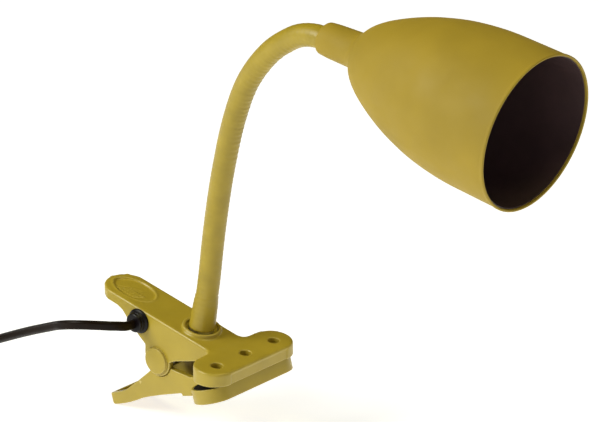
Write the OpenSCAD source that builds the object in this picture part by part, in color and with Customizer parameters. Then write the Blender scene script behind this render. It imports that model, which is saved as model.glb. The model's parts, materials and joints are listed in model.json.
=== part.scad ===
// Clip-on reading lamp: a spring clamp, a sleeved gooseneck, a bell shade and a flat mains lead.
// Origin: centre of the upper grip pad's face. +X points to the jaw tips, +Z up, +Y to the far side.

/* [Clip] */
// Width over the upper jaw's cheeks
clip_w = 26.4; // [26:0.1:27]
// Thickness of the upper jaw's cheeks
cheek_t = 1.8; // [1.6:0.1:2]
// Thickness of the other moulded walls
wall = 2.2; // [2:0.1:2.4]
// Slope of the thumb lever, degrees
lever_slope = 11.5; // [11.2:0.1:11.8]
// Height of the upper T-bar at its screw holes
bar_h = 8.6; // [8:0.1:10]
// Radius of the T-bar's end lobes
lobe_r = 11.9; // [11:0.1:13]
// Distance between screw holes
hole_pitch = 23; // [21:0.5:25]
// Diameter of the screw holes
hole_d = 6.5; // [5:0.1:7]
// Angle between the jaw faces when the clip is shut
shut_angle = 16.4; // [15:0.1:16.6]

/* [Pivot and spring] */
// Diameter of the pivot pin
pin_d = 5; // [4:0.5:6]
// Diameter of the round pivot caps
cap_d = 15.4; // [14:0.2:16]
// Diameter of the spring wire
wire_d = 1.8; // [1.4:0.1:2]
// Mean diameter of the spring coils
coil_d = 11; // [10:0.5:12]
// Number of spring turns, before the legs leave
spring_turns = 4; // [3:1:5]

/* [Neck] */
// Outer diameter of the silicone sleeve
sleeve_d = 12; // [11.5:0.5:13]
// Diameter of the sleeve's foot
cuff_d = 14.8; // [14:0.1:16]
// Diameter of the steel conduit
conduit_d = 8; // [7:0.5:9]
// Bore of the conduit
conduit_bore = 4; // [3:0.5:5]
// Lean of the straight part, degrees from upright
neck_lean = 10.3; // [5:0.1:20]
// Length of the straight part
straight_l = 113.2; // [100:0.2:130]
// Radius of the long bend
bend_r = 106.4; // [90:0.2:130]
// Lean at the end of the long bend
bend_end = 56.3; // [45:0.1:65]
// Radius of the tight bend below the shade
crook_r = 32; // [28:0.5:40]
// Lean of the shade's axis
head_lean = 98.9; // [90:0.1:110]

/* [Shade] */
// Length of the shade from its collar's rear to its mouth
shade_l = 138; // [130:1:150]
// Radius of the mouth
mouth_r = 41.7; // [41.5:0.1:44]
// Radius of the collar
collar_r = 9.7; // [9.4:0.1:10.5]
// Thickness of the sheet steel
shade_t = 1; // [0.8:0.1:1.2]
// Thickness of the black inner liner
liner_t = 0.6; // [0.4:0.1:0.8]
// Diameter of the lampholder
holder_d = 26; // [25:0.5:28]
// Inner diameter of the small screw lamp contact
contact_d = 14; // [13.5:0.1:14.5]

/* [Lead] */
// Width of the flat twin lead
lead_w = 5.2; // [5:0.1:5.6]
// Thickness of the flat twin lead
lead_t = 3.3; // [3:0.1:3.6]
// Height of the surface that the lead lies on
floor_z = -44.5; // [-46:0.1:-44.4]
// Radius of the coil's outermost turn
turn_r = 35; // [33:0.5:37]
// Length of the inline switch
switch_l = 60; // [55:1:70]
// Length of the plug's body
plug_l = 36; // [33:1:40]
// Length of the plug's pins
pin_l = 19; // [19:1:19]

/* [Hidden] */
$fn = 64;
half_w = clip_w / 2;
// Clearance between the two jaws' mouldings
side_gap = 0.35;
// Radial clearance of the lower jaw on the pivot pin
pin_play = 0.05;
pivot = [-54, -7.21];
boss_r = 9.2;
rear_x = -100;
rear_arc_r = 14;
stem_x = -14;
bar_x = -1.4;
front_x = bar_x + lobe_r;
bar_slope = 5;
// The grip pads: their thickness, how far they stand out of the rims, and their inset
pad_t = 1.3;
pad_proud = 0.3;
pad_inset = 1.6;
// The lower jaw is drawn with its face level, this far below the upper one
level_face = -17.68;
level_bottom = -26.08;
tail_x = -99.9;
// The lower T-bar stands this far behind the upper one while level
lower_bar_dx = -3.1;
// Half widths of the lower jaw: beside the upper jaw's bosses, and elsewhere; and of its trough
boss_half_w = half_w - cheek_t - side_gap;
lower_half_w = half_w - 0.8;
trough_half_w = boss_half_w - 2;
neck_root = [-32, 15.6];
// Where the cord gland goes through the near cheek
gland = [-67, 13];
gland_r = 7.2;
gland_out = 5;
// The oval thumb recess
recess_x = -82.5;
recess_a = 15;
recess_b = 10;

bend_l = bend_r * (bend_end - neck_lean) * PI / 180;
crook_l = crook_r * (head_lean - bend_end) * PI / 180;
neck_l = straight_l + bend_l + crook_l;
// Distances along the neck at which it bends, and half the gaps between its lengths there
neck_joints = [
    straight_l / 3, straight_l * 2 / 3, straight_l,
    straight_l + bend_l / 3, straight_l + bend_l * 2 / 3, straight_l + bend_l
];
sleeve_gap = 3;
conduit_gap = 2;
// The round end of a length of conduit and its play in the next one's seat
ball_r = conduit_d / 2 - 0.3;
ball_play = 0.25;

// The coil's centre, and the distance of its foot from the floor
coil_foot = 0.6;
coil_layer = 5.4;
entry = [-229, -10.5];
entry_heading = 165;
coil_c = entry + turn_r * [-sin(entry_heading), cos(entry_heading)];
coil_hole_r = 21;
coil_rim_r = turn_r + lead_t / 2 + 0.2;
// The lead leaves the coil's top layer towards the switch with this heading
end_heading = -8;
end_z = floor_z + 7.5;
switch_gap = 20;
plug_gap = 18;
// The switch rocker's pin and its height above the switch's middle
rocker_pin_r = 0.9;
rocker_z = 5;

// Route of the lead from its gland to the coil: x, y and z at the middle of the lead
route = [
    [-67, -18.2, 12.4], [-67, -20.2, 12.5], [-67, -22.2, 12.8], [-66.85, -24.7, 13.35],
    [-67.1, -27.8, 14.3], [-67.87, -30.79, 15.18], [-68.93, -33.67, 15.77], [-70.53, -36.3, 16.36],
    [-72.41, -38.75, 16.78], [-74.49, -40.86, 16.97], [-77.18, -42.93, 17.03],
    [-80.49, -44.81, 16.83], [-84.35, -46.21, 16.26], [-89.04, -47.02, 15.23],
    [-94.88, -46.64, 13.26], [-100.68, -44.63, 10.72], [-108.52, -42.38, 7],
    [-116.47, -40.27, 3.23], [-124.41, -38.23, -0.53], [-133.35, -35.9, -4.9],
    [-142.29, -33.47, -9.37], [-151.23, -31.13, -13.93], [-160.18, -28.8, -18.5],
    [-169.12, -26.47, -23.07], [-178.06, -24.13, -27.53], [-187, -21.8, -31.7],
    [-196, -19.3, -35.4], [-205, -16.9, -38.3], [-213, -14.8, -40.1], [-221, -12.6, -41],
    [-229, -10.5, -41.3]
];

clip_colour = "#b7a64f";
sleeve_colour = "#b49f3e";
shade_colour = "#a48b2c";
black = "#1f1a1c";
steel = "#b9bcc0";

// --- Curves ---

// Height of the lever's top and of the T-bar's top above the grip face
function lever_top(x) = bar_h + 0.95 + (stem_x - x) * tan(lever_slope);
function bar_top(x) = bar_h - x * tan(bar_slope);

// The neck's centreline: its lean and its place at a distance s from the root
function neck_lean_at(s) = s < straight_l ? neck_lean
    : s < straight_l + bend_l ? neck_lean + (s - straight_l) / bend_r * 180 / PI
    : bend_end + (s - straight_l - bend_l) / crook_r * 180 / PI;
function bend_step(r, from, to) = r * [cos(from) - cos(to), sin(to) - sin(from)];
function neck_at(s) = neck_root + min(s, straight_l) * [sin(neck_lean), cos(neck_lean)]
    + bend_step(bend_r, neck_lean, min(neck_lean_at(s), bend_end))
    + (s > straight_l + bend_l ? bend_step(crook_r, bend_end, neck_lean_at(s)) : [0, 0]);

// The shade's outline, [distance from the collar's rear, radius], through these places
bell = [
    [21.5, collar_r + 0.2], [25, collar_r + 2.1], [30.5, 17.5], [37, 22.2], [45.5, 26.7],
    [56, 31.3], [67, 35], [82.5, 38.8], [101, 41.1], [119.5, 41.6], [shade_l, mouth_r]
];
// A smooth curve through points p, with n steps from each point to the next
function through(p, n) = [
    for (i = [0:len(p) - 2], k = [0:n - 1])
        let (a = p[max(i - 1, 0)], b = p[i], c = p[i + 1], d = p[min(i + 2, len(p) - 1)], t = k / n)
        ((2 * b) + (c - a) * t + (2 * a - 5 * b + 4 * c - d) * t * t
            + (3 * b - a - 3 * c + d) * t * t * t) / 2,
    p[len(p) - 1]
];
bell_curve = through(bell, 3);
// The same curve moved inwards by t
function inset(p, t) = [
    for (i = [0:len(p) - 1])
        let (d = p[min(i + 1, len(p) - 1)] - p[max(i - 1, 0)])
        p[i] + t / norm(d) * [d[1], -d[0]]
];
function reversed(p) = [for (i = [len(p) - 1:-1:0]) p[i]];

// --- Shared modules ---

// Draws an outline given in X and Z across a width, centred on the XZ plane
module across(w) {
    rotate([90, 0, 0])
        linear_extrude(w, center = true)
            children();
}

// Places children at a distance s along the neck, with Z along it
module on_neck(s) {
    at = neck_at(s);
    translate([at[0], 0, at[1]])
        rotate([0, neck_lean_at(s), 0])
            children();
}

// Places children on the shade's axis, with Z from the collar to the mouth
module on_head() {
    on_neck(neck_l)
        children();
}

// Part of a ring about the Y axis whose lean runs from one angle to another
module bent_tube(r, from, to, start, outer_r, inner_r) {
    centre = start + r * [cos(from), -sin(from)];
    translate([centre[0], 0, centre[1]])
        rotate([90, 0, 0])
            rotate([0, 0, 180 - to])
                rotate_extrude(angle = to - from)
                    translate([r, 0])
                        difference() {
                            circle(outer_r);
                            circle(inner_r);
                        }
}

// A tube along the neck between two distances that lie on the same straight or bent part
module neck_tube(from, to, outer_r, inner_r) {
    if (from < straight_l)
        on_neck(from)
            ring(outer_r, inner_r, to - from);
    else
        bent_tube(from < straight_l + bend_l ? bend_r : crook_r, neck_lean_at(from), neck_lean_at(to),
            neck_at(from), outer_r, inner_r);
}

module ring(outer_r, inner_r, h) {
    difference() {
        cylinder(r = outer_r, h = h);
        translate([0, 0, -1])
            cylinder(r = inner_r, h = h + 2);
    }
}

// An oval prism round the Z axis
module oval(a, b, h) {
    linear_extrude(h)
        polygon([for (i = [0:47]) [a * cos(i * 7.5), b * sin(i * 7.5)]]);
}

// A solid swept along points; its section is turned so that its second axis stays towards up
module sweep(path, section, up) {
    n = len(section);
    last = len(path) - 1;
    rings = [
        for (i = [0:last])
            let (d = path[min(i + 1, last)] - path[max(i - 1, 0)], side = cross(d, up), top = cross(side, d))
            for (q = section) path[i] + q[0] * side / norm(side) + q[1] * top / norm(top)
    ];
    walls = [
        for (i = [0:last - 1], k = [0:n - 1])
            [i * n + k, i * n + (k + 1) % n, (i + 1) * n + (k + 1) % n, (i + 1) * n + k]
    ];
    ends = [[for (k = [n - 1:-1:0]) k], [for (k = [0:n - 1]) last * n + k]];
    polyhedron(rings, concat(walls, ends));
}

function oval_section(a, b, n) = [for (k = [0:n - 1]) [a * cos(k * 360 / n), b * sin(k * 360 / n)]];
lead_section = oval_section(lead_t / 2, lead_w / 2, 10);

// --- Clip ---

// Plan of a jaw: a stem of half width w that ends at x, and the T-bar, with rounded inner corners
module bar_plan() {
    hull()
        for (y = [-hole_pitch, hole_pitch])
            translate([bar_x, y])
                circle(lobe_r);
}

module upper_stem_plan() {
    side_x = rear_x + rear_arc_r - sqrt(rear_arc_r * rear_arc_r - half_w * half_w);
    offset(r = 3)
        offset(delta = -3)
            union() {
                intersection() {
                    translate([rear_x + rear_arc_r, 0])
                        circle(rear_arc_r);
                    translate([rear_x - 1, -half_w])
                        square([rear_arc_r, clip_w]);
                }
                translate([side_x, -half_w])
                    square([-side_x, clip_w]);
            }
}

module upper_plan() {
    offset(r = -5)
        offset(delta = 5)
            union() {
                upper_stem_plan();
                bar_plan();
            }
}

module lower_stem_plan() {
    offset(r = 3)
        offset(delta = -3)
            translate([tail_x, -lower_half_w])
                square([-tail_x, 2 * lower_half_w]);
}

module lower_plan() {
    offset(r = -5)
        offset(delta = 5)
            union() {
                lower_stem_plan();
                translate([lower_bar_dx, 0])
                    bar_plan();
            }
}

// The T-bar's inside, within its rim
module bar_inside(inset_by) {
    intersection() {
        offset(delta = -inset_by)
            bar_plan();
        translate([stem_x, -50])
            square([50, 100]);
    }
}

module upper_side() {
    polygon([
        [rear_x - 1, lever_top(rear_x - 1)], [stem_x, lever_top(stem_x)],
        [stem_x + 5, bar_top(stem_x + 5)], [front_x + 1, bar_top(front_x + 1)],
        [front_x + 1, pad_proud], [-25.7, pad_proud], [-40.9, -4.2], [-44.5, -6], pivot,
        [pivot[0] - boss_r, pivot[1] + 2], [-63.1, 0], [-67.5, 3.4], [-76.7, 12], [-80.2, 15.8],
        [-83.7, 17.7], [-90.7, 19.3], [rear_x - 1, 20.8]
    ]);
    translate(pivot)
        circle(boss_r);
}

module upper_cavity() {
    roof = wall / cos(lever_slope);
    intersection() {
        across(clip_w)
            polygon([
                [rear_x, lever_top(rear_x) - roof], [stem_x - 3, lever_top(stem_x - 3) - roof],
                [stem_x - 3, -30], [rear_x, -30]
            ]);
        translate([0, 0, -30])
            linear_extrude(70)
                offset(delta = -cheek_t)
                    upper_stem_plan();
    }
}

module upper_bar_pocket() {
    intersection() {
        across(100)
            polygon([
                [stem_x, pad_t], [stem_x, bar_top(stem_x) - wall], [front_x, bar_top(front_x) - wall],
                [front_x, pad_t]
            ]);
        linear_extrude(20)
            bar_inside(pad_inset + 1.6);
    }
}

module screw_holes(from, to, r) {
    for (y = [-hole_pitch, 0, hole_pitch])
        translate([0, y, from])
            cylinder(r = r, h = to - from);
}

// The socket on the lever that the neck stands in: a raised rim with a stop tab
module neck_socket() {
    on_neck(0) {
        translate([0, 0, -3.6])
            cylinder(r = 11, h = 3.7);
        rotate([0, 0, 41])
            translate([9.4, -1.6, -2])
                cube([1.5, 3.2, 3.6]);
    }
}

// The step in the T-bar's front, below its top edge
module front_recess() {
    translate([front_x - 0.6, -hole_pitch, -1])
        cube([2, 2 * hole_pitch, bar_top(front_x) + 1 - 1.5]);
}

// The oval thumb recess, sunk into the lever's top, as a tool that is cut away
module on_lever(x) {
    translate([x, 0, lever_top(x)])
        rotate([0, lever_slope, 0])
            children();
}

module thumb_recess() {
    on_lever(recess_x)
        translate([0, 0, -0.7])
            oval(recess_a - 1.3, recess_b - 1.3, 3);
}

module thumb_rim() {
    on_lever(recess_x)
        difference() {
            translate([0, 0, -1])
                oval(recess_a, recess_b, 1.35);
            translate([0, 0, -1.2])
                oval(recess_a - 1.3, recess_b - 1.3, 3);
        }
}

module thumb_ridges() {
    on_lever(recess_x)
        intersection() {
            translate([0, 0, -0.9])
                oval(recess_a - 1.3, recess_b - 1.3, 0.65);
            for (k = [-3:3])
                translate([k * 2, -3.6, -0.65])
                    rotate([0, 90, 50])
                        cylinder(r = 0.42, h = 7, center = true, $fn = 16);
        }
}

module upper_jaw() {
    color(clip_colour) {
        difference() {
            union() {
                difference() {
                    intersection() {
                        across(100)
                            upper_side();
                        translate([0, 0, -40])
                            linear_extrude(100)
                                upper_plan();
                    }
                    upper_cavity();
                    upper_bar_pocket();
                }
                screw_holes(pad_t, bar_h - wall, hole_d / 2 + 1.6);
                on_neck(-7)
                    cylinder(r = 9, h = 4);
                neck_socket();
                thumb_rim();
            }
            thumb_recess();
            front_recess();
            screw_holes(-5, 20, hole_d / 2);
            linear_extrude(pad_t)
                bar_inside(pad_inset);
            on_neck(-12)
                cylinder(r = 5, h = 30);
            on_neck(-2.2)
                cylinder(r = 9.1, h = 12);
            translate([pivot[0], 0, pivot[1]])
                rotate([90, 0, 0])
                    cylinder(d = pin_d, h = 60, center = true);
            translate([gland[0], 0, gland[1]])
                rotate([90, 0, 0])
                    cylinder(r = 3.5, h = 30);
        }
        thumb_ridges();
    }
}

// Turns what is drawn with the lower jaw level into the shut clip
module shut() {
    translate([pivot[0], 0, pivot[1]])
        rotate([0, -shut_angle, 0])
            translate([-pivot[0], 0, -pivot[1]])
                children();
}

module lower_side() {
    rim = level_face - pad_proud;
    polygon([
        [tail_x, -26.6], [tail_x, -32.2], [-97.4, -33], [-94, -32.9], [-89, -32.5], [-84, -31.8],
        [-78.8, -30.7], [-73.5, -29.4], [-68.5, -28.7], [-58.5, -27.7], [-43.9, -26.8],
        [-22, level_bottom], [front_x + 1, level_bottom], [front_x + 1, rim], [lower_bar_dx - 16, rim],
        [-32.5, -17.3], [-45.7, -12.6], pivot, [-62.7, -13.5], [-74.5, -19.4], [-85.4, -24.5], [-89.2, -25.3]
    ]);
    translate(pivot)
        circle(boss_r - 0.6);
}

module lower_cavity() {
    intersection() {
        across(clip_w)
            polygon([
                [tail_x + wall, 10], [tail_x + wall, -30.7], [-94, -30.7], [-89, -30.3], [-84, -29.6],
                [-78.8, -28.5], [-73.5, -27.2], [-68.5, -26.5], [-58.5, -25.5], [-43.9, -24.6],
                [lower_bar_dx - 18, level_bottom + wall], [lower_bar_dx - 18, 10]
            ]);
        translate([-100, -trough_half_w, -50])
            cube([100, 2 * trough_half_w, 70]);
    }
}

// Room beside the lower jaw's cheeks for the upper jaw's round bosses
module boss_relief() {
    for (side = [-1, 1])
        translate([pivot[0], side * (boss_half_w + 5), pivot[1]])
            rotate([90, 0, 0])
                cylinder(r = boss_r + 0.5, h = 10, center = true);
}

module lower_jaw() {
    pocket_z = level_bottom + wall;
    seat_z = level_face - pad_t;
    color(clip_colour)
        shut()
            difference() {
                union() {
                    intersection() {
                        across(100)
                            lower_side();
                        translate([0, 0, -60])
                            linear_extrude(80)
                                lower_plan();
                    }
                    translate([-41.5, -lower_half_w, -28.3])
                        cube([7.5, 3, 2.5]);
                }
                lower_cavity();
                boss_relief();
                translate([lower_bar_dx, 0, pocket_z])
                    linear_extrude(seat_z - pocket_z)
                        bar_inside(pad_inset + 1.6);
                translate([lower_bar_dx, 0, seat_z])
                    linear_extrude(pad_t + 1)
                        bar_inside(pad_inset);
                translate([pivot[0], 0, pivot[1]])
                    rotate([90, 0, 0])
                        cylinder(r = pin_d / 2 + pin_play, h = 60, center = true);
            }
}

module upper_grip_pad() {
    color(black)
        linear_extrude(pad_t)
            bar_inside(pad_inset);
}

module lower_grip_pad() {
    color(black)
        shut()
            translate([lower_bar_dx, 0, level_face - pad_t])
                linear_extrude(pad_t)
                    bar_inside(pad_inset);
}

module pivot_pin() {
    color(steel)
        translate([pivot[0], 0, pivot[1]])
            rotate([90, 0, 0])
                cylinder(d = pin_d, h = clip_w, center = true);
}

// A round cap on a cheek, with a softened edge
module pivot_cap(side) {
    color(clip_colour)
        translate([pivot[0], side * half_w, pivot[1]])
            rotate([-side * 90, 0, 0]) {
                cylinder(d = cap_d, h = 1.1);
                translate([0, 0, 1.1])
                    cylinder(r1 = cap_d / 2, r2 = cap_d / 2 - 0.6, h = 0.6);
            }
}

// The torsion spring: a leg under the lever, the coils round the pin, a leg on the lower jaw's tail
function tangent_angle(to, turn) =
    let (d = to - pivot) atan2(d[1], d[0]) + turn * acos(coil_d / 2 / norm(d));
function level_to_shut(p) =
    let (d = p - pivot, c = cos(shut_angle), s = sin(shut_angle)) pivot + [d[0] * c - d[1] * s, d[0] * s + d[1] * c];
function around_pivot(a, y) = [pivot[0] + coil_d / 2 * cos(a), y, pivot[1] + coil_d / 2 * sin(a)];

module clip_spring() {
    upper_foot = [-80, lever_top(-80) - wall / cos(lever_slope) - wire_d / 2 - 0.1];
    lower_foot = level_to_shut([-80, -28.5 + wire_d / 2 + 0.2]);
    from = tangent_angle(upper_foot, 1);
    to = tangent_angle(lower_foot, -1);
    total = (((to - from) % 360) + 360) % 360 + 360 * (spring_turns - 1);
    half_y = total / 360 * (wire_d + 0.15) / 2;
    steps = ceil(total / 20);
    coils = [for (i = [0:steps]) around_pivot(from + total * i / steps, -half_y + 2 * half_y * i / steps)];
    path = concat([[upper_foot[0], -half_y, upper_foot[1]]], coils, [[lower_foot[0], half_y, lower_foot[1]]]);
    color(steel)
        sweep(path, oval_section(wire_d / 2, wire_d / 2, 8), [0, 1, 0]);
}

// The strain relief in the near cheek: two steps outside, a shank through the wall
module cord_gland() {
    color(black)
        translate([gland[0], -half_w, gland[1]])
            rotate([90, 0, 0]) {
                cylinder(r = gland_r, h = 1.6);
                translate([0, 0, 1.6])
                    cylinder(r1 = 5.6, r2 = 5.2, h = gland_out - 1.6);
                translate([0, 0, -5])
                    cylinder(r = 3.5, h = 5);
            }
}

module gland_nut() {
    color(black)
        translate([gland[0], -half_w + cheek_t, gland[1]])
            rotate([-90, 0, 0])
                difference() {
                    cylinder(r = 5, h = 2.2, $fn = 6);
                    translate([0, 0, -1])
                        cylinder(r = 3.5, h = 5);
                }
}

// The lead inside the lever, from the gland to the foot of the neck
module inner_lead() {
    foot = neck_at(-12);
    route_in = [
        [gland[0], -8.1, gland[1]], [gland[0], -6.8, gland[1]], [-66.4, -5, 12.6], [-64.5, -3.3, 11.7],
        [-61.3, -1.6, 10], [-55, -0.4, 7.5],
        [-49, 0, 4.6], [-43.5, 0, 1.7], [-39, 0, 0], [-36, 0, 0.4], [foot[0], 0, foot[1]]
    ];
    color(black)
        sweep(route_in, oval_section(lead_t / 2, lead_t / 2, 8), [0.3, 0.2, 1]);
}

// --- Neck ---

module neck_root_ferrule() {
    color(steel) {
        on_neck(-12)
            ring(5, 3, 9.8);
        on_neck(-2.2)
            ring(7, 3, 1.8);
        on_neck(-0.4)
            ring(5.4, conduit_d / 2 + 0.05, 8.4);
    }
}

module neck_washer() {
    color(steel)
        on_neck(-8)
            ring(8, 5, 1);
}

module hex_nut(h) {
    color(steel)
        difference() {
            cylinder(r = 7.9, h = h, $fn = 6);
            translate([0, 0, -1])
                cylinder(r = 5, h = h + 2);
        }
}

module neck_nut() {
    on_neck(-11.5)
        hex_nut(3.5);
}

// One length of conduit, which starts in a round seat and ends in a ball
module conduit(i) {
    from = i == 0 ? -0.4 : neck_joints[i - 1] + conduit_gap;
    to = i == len(neck_joints) ? neck_l - 1 : neck_joints[i] - 0.6;
    color(steel)
        difference() {
            union() {
                neck_tube(from, to, conduit_d / 2, conduit_bore / 2);
                if (i < len(neck_joints))
                    on_neck(neck_joints[i])
                        sphere(ball_r);
            }
            if (i > 0)
                on_neck(neck_joints[i - 1])
                    sphere(ball_r + ball_play);
            if (i < len(neck_joints))
                on_neck(neck_joints[i] - 5)
                    cylinder(r1 = conduit_bore / 2 - 0.8, r2 = conduit_bore / 2 + 0.9, h = 10);
        }
}

// One length of the silicone sleeve; the first one widens to its foot
module sleeve(i) {
    from = i == 0 ? 8.2 : neck_joints[i - 1] + sleeve_gap;
    to = i == len(neck_joints) ? neck_l - 1 : neck_joints[i] - sleeve_gap;
    color(sleeve_colour) {
        neck_tube(from, to, sleeve_d / 2, conduit_d / 2 + 0.05);
        if (i == 0)
            on_neck(-0.4)
                cuff(from + 0.4);
    }
}

module cuff(h) {
    difference() {
        union() {
            cylinder(d1 = cuff_d, d2 = cuff_d - 1.6, h = 15);
            translate([0, 0, 15])
                cylinder(d1 = cuff_d - 1.6, d2 = sleeve_d, h = 6);
        }
        translate([0, 0, -1])
            cylinder(r = 5.45, h = h + 1);
        translate([0, 0, h - 1])
            cylinder(r = conduit_d / 2 + 0.05, h = 16);
    }
}

module head_ferrule() {
    color(steel)
        on_head() {
            translate([0, 0, -0.78])
                ring(sleeve_d / 2, 3, 0.78);
            ring(5, 3, 33);
        }
}

module head_washer() {
    color(steel)
        on_head()
            translate([0, 0, shade_t])
                ring(7.6, 5, 0.8);
}

module head_nut() {
    on_head()
        translate([0, 0, shade_t + 0.8])
            hex_nut(3.5);
}

// --- Shade and lampholder ---

module shade() {
    outside = concat(
        [[0, 5], [0, collar_r - 1.4], [0.4, collar_r - 0.5], [1.4, collar_r - 0.1]],
        bell_curve
    );
    inside = concat(
        [[shade_t, 5], [shade_t, collar_r - 1.4], [1.6, collar_r - 1.1]],
        inset(bell_curve, shade_t)
    );
    color(shade_colour)
        on_head()
            rotate_extrude($fn = 96)
                polygon([for (p = concat(outside, reversed(inside))) [p[1], p[0]]]);
}

module shade_liner() {
    shell = [for (p = bell_curve) if (p[0] > 24 && p[0] < shade_l) p];
    color(black)
        on_head()
            rotate_extrude($fn = 96)
                polygon([for (p = concat(inset(shell, shade_t), reversed(inset(shell, shade_t + liner_t)))) [p[1], p[0]]]);
}

module lampholder_cap() {
    color(black)
        on_head()
            difference() {
                union() {
                    translate([0, 0, 27])
                        cylinder(r1 = 7, r2 = holder_d / 2 - 1, h = 6);
                    translate([0, 0, 33])
                        cylinder(r = holder_d / 2 - 1, h = 7);
                }
                translate([0, 0, 20])
                    cylinder(r = 5, h = 13);
                translate([0, 0, 33])
                    cylinder(r = holder_d / 2 - 3, h = 10);
            }
}

module lampholder_body() {
    color(black)
        on_head()
            difference() {
                union() {
                    translate([0, 0, 40])
                        cylinder(d = holder_d, h = 30);
                    translate([0, 0, 70])
                        cylinder(r1 = holder_d / 2, r2 = holder_d / 2 - 2, h = 8);
                }
                translate([0, 0, 43])
                    cylinder(r = contact_d / 2 + 0.6, h = 24);
                translate([0, 0, 66])
                    cylinder(r = contact_d / 2 + 1.6, h = 20);
            }
}

module contact_shell() {
    color("#c9a44a")
        on_head()
            translate([0, 0, 45])
                ring(contact_d / 2 + 0.6, contact_d / 2, 20);
}

module centre_contact() {
    color("#c9a44a")
        on_head() {
            translate([0, 0, 43])
                cylinder(r = 3, h = 0.8);
            translate([0, 0, 43.8])
                cylinder(r1 = 2, r2 = 1.4, h = 1);
        }
}

// The two wires from the neck into the lampholder
module holder_wires() {
    color(black)
        on_head()
            for (side = [-1, 1])
                translate([0, side * 1.3, 2])
                    cylinder(r = 1.1, h = 37.8, $fn = 24);
}

// --- Lead, switch and plug ---

module mains_lead() {
    color(black)
        sweep(route, lead_section, [0, 0, 1]);
}

module lead_coil() {
    color(black)
        translate([coil_c[0], coil_c[1], floor_z + coil_foot])
            ring(coil_rim_r, coil_hole_r, 2 * coil_layer + 0.2);
}

// A strap round the coil's side that is turned away from the lamp
module coil_tie() {
    mid_r = (coil_rim_r + coil_hole_r) / 2;
    w = coil_rim_r - coil_hole_r + 0.6;
    h = 2 * coil_layer + 0.2;
    t = coil_foot;
    color(black)
        translate([coil_c[0], coil_c[1], floor_z])
            rotate([0, 0, 190])
                translate([mid_r, 0, 0])
                    difference() {
                        translate([-w / 2 - t, -4, 0])
                            cube([w + 2 * t, 8, h + 2 * t]);
                        translate([-w / 2, -5, t])
                            cube([w, 10, h]);
                    }
}

// Places children where the lead leaves the coil, with X along its heading and Z up
module on_end(distance) {
    start = coil_c + turn_r * [sin(end_heading), -cos(end_heading)];
    translate([start[0], start[1], end_z])
        rotate([0, 0, end_heading])
            translate([distance, 0, 0])
                children();
}

module lead_to_switch() {
    top = floor_z + coil_foot + 1.5 * coil_layer + 0.1 - end_z;
    color(black)
        on_end(0)
            sweep([[1, 0, top], [5, 0, top], [9, 0, top * 0.7], [13, 0, top * 0.2], [switch_gap, 0, 0]],
                lead_section, [0, 0, 1]);
}

// A long lozenge with round ends, from z = low to z = high
module switch_shape(low, high, grow) {
    translate([switch_l / 2, 0, low])
        linear_extrude(high - low)
            offset(delta = grow)
                hull() {
                    for (x = [-1, 1])
                        translate([x * (switch_l / 2 - 4), 0])
                            circle(4);
                    for (x = [-1, 1])
                        translate([x * 12, 0])
                            circle(11);
                }
}

module switch_base() {
    color(black)
        on_end(switch_gap)
            difference() {
                switch_shape(-7.5, 0, 0);
                switch_shape(-5.7, 1, -1.8);
            }
}

module switch_cover() {
    color(black)
        on_end(switch_gap)
            union() {
                difference() {
                    union() {
                        switch_shape(0, 6, 0);
                        switch_shape(6, 7.5, -1.5);
                    }
                    switch_shape(-1, 5.7, -1.8);
                    translate([switch_l / 2 - 9.4, -5.4, 3])
                        cube([18.8, 10.8, 10]);
                }
                translate([switch_l / 2, 0, 0]) {
                    for (side = [-1, 1])
                        translate([-2, side * 6.2 - 0.8, rocker_z - 2])
                            cube([4, 1.6, 3]);
                    translate([0, 0, rocker_z])
                        rotate([90, 0, 0])
                            cylinder(r = rocker_pin_r, h = 12, center = true, $fn = 24);
                }
            }
}

// The rocker: a shallow V on top, turning on the cover's pin, with its far end down
module switch_rocker() {
    color(black)
        on_end(switch_gap + switch_l / 2)
            difference() {
                across(10)
                    polygon([[-8.4, 9.1], [0, 7.8], [8.4, 7.4], [7.8, 3.4], [-7.8, 3.4]]);
                translate([0, 0, rocker_z])
                    rotate([90, 0, 0])
                        cylinder(r = rocker_pin_r + pin_play, h = 20, center = true, $fn = 24);
            }
}

module lead_to_plug() {
    from = switch_gap + switch_l;
    color(black)
        on_end(0)
            sweep([for (i = [0:4]) [from + plug_gap * i / 4, 0, -0.125 * i]], lead_section, [0, 0, 1]);
}

// The flat two-pin plug, lying on its broad side
module plug_body() {
    color(black)
        on_end(switch_gap + switch_l + plug_gap)
            translate([0, 0, -0.5])
                hull() {
                    translate([0, -4, -3.5])
                        cube([1, 8, 7]);
                    translate([10, -8, -7])
                        cube([1, 16, 14]);
                    translate([plug_l - 8, -13.5, -7])
                        cube([7.5, 27, 14]);
                    translate([plug_l - 1, -12.5, -6])
                        cube([1, 25, 12]);
                }
}

module plug_pins() {
    color(steel)
        on_end(switch_gap + switch_l + plug_gap + plug_l)
            for (side = [-1, 1])
                translate([0, side * 9.3, -0.5])
                    rotate([0, 90, 0]) {
                        cylinder(r = 2, h = pin_l - 1);
                        translate([0, 0, pin_l - 1])
                            cylinder(r1 = 2, r2 = 1.2, h = 1);
                    }
}

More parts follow.
